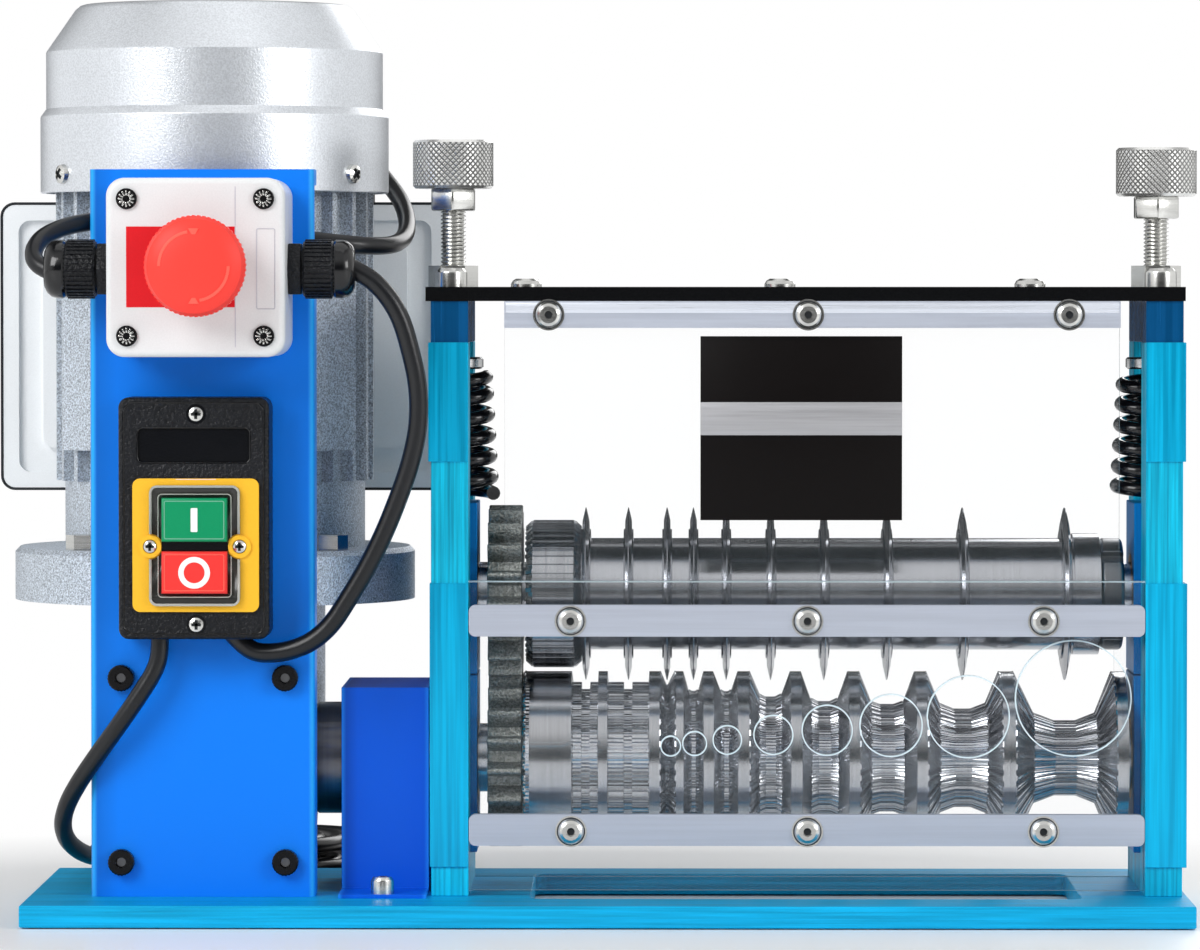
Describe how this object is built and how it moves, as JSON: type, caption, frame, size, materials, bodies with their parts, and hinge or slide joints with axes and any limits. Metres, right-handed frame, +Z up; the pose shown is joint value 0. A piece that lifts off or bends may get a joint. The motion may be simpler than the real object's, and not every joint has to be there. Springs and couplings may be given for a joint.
{
  "type": "electric wire stripping machine",
  "caption": "Bench machine with geared feed rollers, round blades and a vertical motor that splits the jacket of scrap electric cable.",
  "frame": {"origin": "middle of the footprint of the machine's outline box, without the mains cord, at the height of the base plate's underside", "axes": "+X to the user's right along the rollers, +Y away from the user, +Z up"},
  "size_m": [0.4832, 0.3407, 0.3575],
  "materials": {
    "blue_plate": "anodised cyan, brushed",
    "dark_blue": "anodised dark blue",
    "polished_blue": "polished cyan",
    "block_blue": "anodised blue",
    "column_blue": "smooth royal blue paint",
    "black_plate": "black",
    "bronze": "plain bronze",
    "spring_black": "gloss black",
    "dark_steel": "dark machined steel",
    "steel": "turned and polished steel",
    "blade_steel": "ground tool steel",
    "zinc": "zinc plated",
    "nickel": "nickel plated knurl",
    "black_screw": "black oxide",
    "satin_aluminium": "satin anodised",
    "cast_silver": "silver paint on casting",
    "silver_paint": "silver paint",
    "clear": "clear acrylic sheet",
    "white_plastic": "white moulded plastic",
    "black_plastic": "black moulded plastic",
    "red_plastic": "red moulded plastic",
    "yellow_plastic": "yellow plastic",
    "green_plastic": "green moulded plastic",
    "cable": "black cable sheath"
  },
  "bodies": {
    "frame": {"base_plate": "blue_plate", "left_post": "blue_plate", "right_post": "blue_plate", "head_blocks": "dark_blue", "post_sleeves": "polished_blue", "top_plate": "black_plate", "lower_blocks": "block_blue", "lower_bushes": "bronze", "feed_plate": "clear", "upper_guard": "clear", "rear_guard": "clear", "top_bar": "satin_aluminium", "middle_bar": "satin_aluminium", "lower_bar": "satin_aluminium", "column": "column_blue", "coupling_cover": "column_blue", "cap_screws": "black_screw", "button_screws": "zinc", "reducer_case": "cast_silver", "motor_frame": "cast_silver", "fan_cowl": "silver_paint", "terminal_box": "silver_paint", "hex_fasteners": "zinc", "stop_box": "white_plastic", "cable_glands": "black_plastic", "switch_box": "black_plastic", "switch_plate": "yellow_plastic", "panel_screws": "zinc", "motor_lead": "cable", "link_lead": "cable", "mains_cord": "cable", "mains_coil": "cable", "mains_plug": "cable"},
    "motor_rotor": {"rotor": "steel", "cooling_fan": "black_plastic"},
    "lower_roller": {"lower_shaft": "steel", "grooved_roller": "steel", "lower_gear": "dark_steel", "shaft_coupling": "dark_steel", "worm_wheel": "bronze"},
    "upper_carriage": {"upper_blocks": "block_blue", "upper_bushes": "bronze", "left_spring": "spring_black", "right_spring": "spring_black"},
    "upper_roller": {"upper_shaft": "steel", "upper_gear": "dark_steel", "feed_drum": "dark_steel", "cutting_blades": "blade_steel", "blade_spacers": "steel", "end_nut": "dark_steel"},
    "left_pressure": {"left_seat": "dark_steel"},
    "left_adjuster": {"left_stud": "zinc", "left_knob": "nickel"},
    "right_pressure": {"right_seat": "dark_steel"},
    "right_adjuster": {"right_stud": "zinc", "right_knob": "nickel"},
    "stop_plunger": {"stop_stem": "black_plastic"},
    "stop_head": {"stop_mushroom": "red_plastic"},
    "start_key": {"start_button": "green_plastic"},
    "halt_key": {"halt_button": "red_plastic"}
  },
  "joints": [
    {"name": "motor_spin", "type": "hinge", "parent": "frame", "child": "motor_rotor", "pos_m": [-0.1484, 0.0206, 0.2], "axis": [0, 0, 1], "continuous": true},
    {"name": "lower_spin", "type": "hinge", "parent": "frame", "child": "lower_roller", "pos_m": [0.0099, -0.0194, 0.0592], "axis": [1, 0, 0], "continuous": true},
    {"name": "carriage_rise", "type": "slide", "parent": "frame", "child": "upper_carriage", "axis": [0, 0, 1], "range_m": [0, 0.004], "stiffness_N_per_m": 20000, "springref_m": -0.004, "deforming": ["left_spring", "right_spring"]},
    {"name": "upper_spin", "type": "hinge", "parent": "upper_carriage", "child": "upper_roller", "pos_m": [0.0099, -0.0194, 0.124], "axis": [1, 0, 0], "continuous": true},
    {"name": "left_press", "type": "slide", "parent": "frame", "child": "left_pressure", "axis": [0, 0, 1], "range_m": [-0.00601, 0.00201]},
    {"name": "left_turn", "type": "hinge", "parent": "left_pressure", "child": "left_adjuster", "pos_m": [-0.05155, -0.0194, 0.25], "axis": [0, 0, 1], "range_deg": [-1440, 480]},
    {"name": "right_press", "type": "slide", "parent": "frame", "child": "right_pressure", "axis": [0, 0, 1], "range_m": [-0.00601, 0.00201]},
    {"name": "right_turn", "type": "hinge", "parent": "right_pressure", "child": "right_adjuster", "pos_m": [0.22535, -0.0194, 0.25], "axis": [0, 0, 1], "range_deg": [-1440, 480]},
    {"name": "stop_push", "type": "slide", "parent": "frame", "child": "stop_plunger", "axis": [0, 1, 0], "range_m": [0, 0.004]},
    {"name": "stop_twist", "type": "hinge", "parent": "stop_plunger", "child": "stop_head", "pos_m": [-0.1449, -0.1344, 0.2527], "axis": [0, 1, 0], "range_deg": [0, 45], "stiffness_Nm_per_rad": 0.02},
    {"name": "start_push", "type": "slide", "parent": "frame", "child": "start_key", "axis": [0, 1, 0], "range_m": [0, 0.003], "stiffness_N_per_m": 400, "springref_m": -0.0005},
    {"name": "halt_push", "type": "slide", "parent": "frame", "child": "halt_key", "axis": [0, 1, 0], "range_m": [0, 0.003], "stiffness_N_per_m": 400, "springref_m": -0.0005}
  ],
  "couplings": [
    {"joint": "lower_spin", "follows": "motor_spin", "ratio": 0.05},
    {"joint": "upper_spin", "follows": "motor_spin", "ratio": -0.05},
    {"joint": "left_press", "follows": "left_turn", "m_per_rad": 0.00023873},
    {"joint": "right_press", "follows": "right_turn", "m_per_rad": 0.00023873}
  ]
}
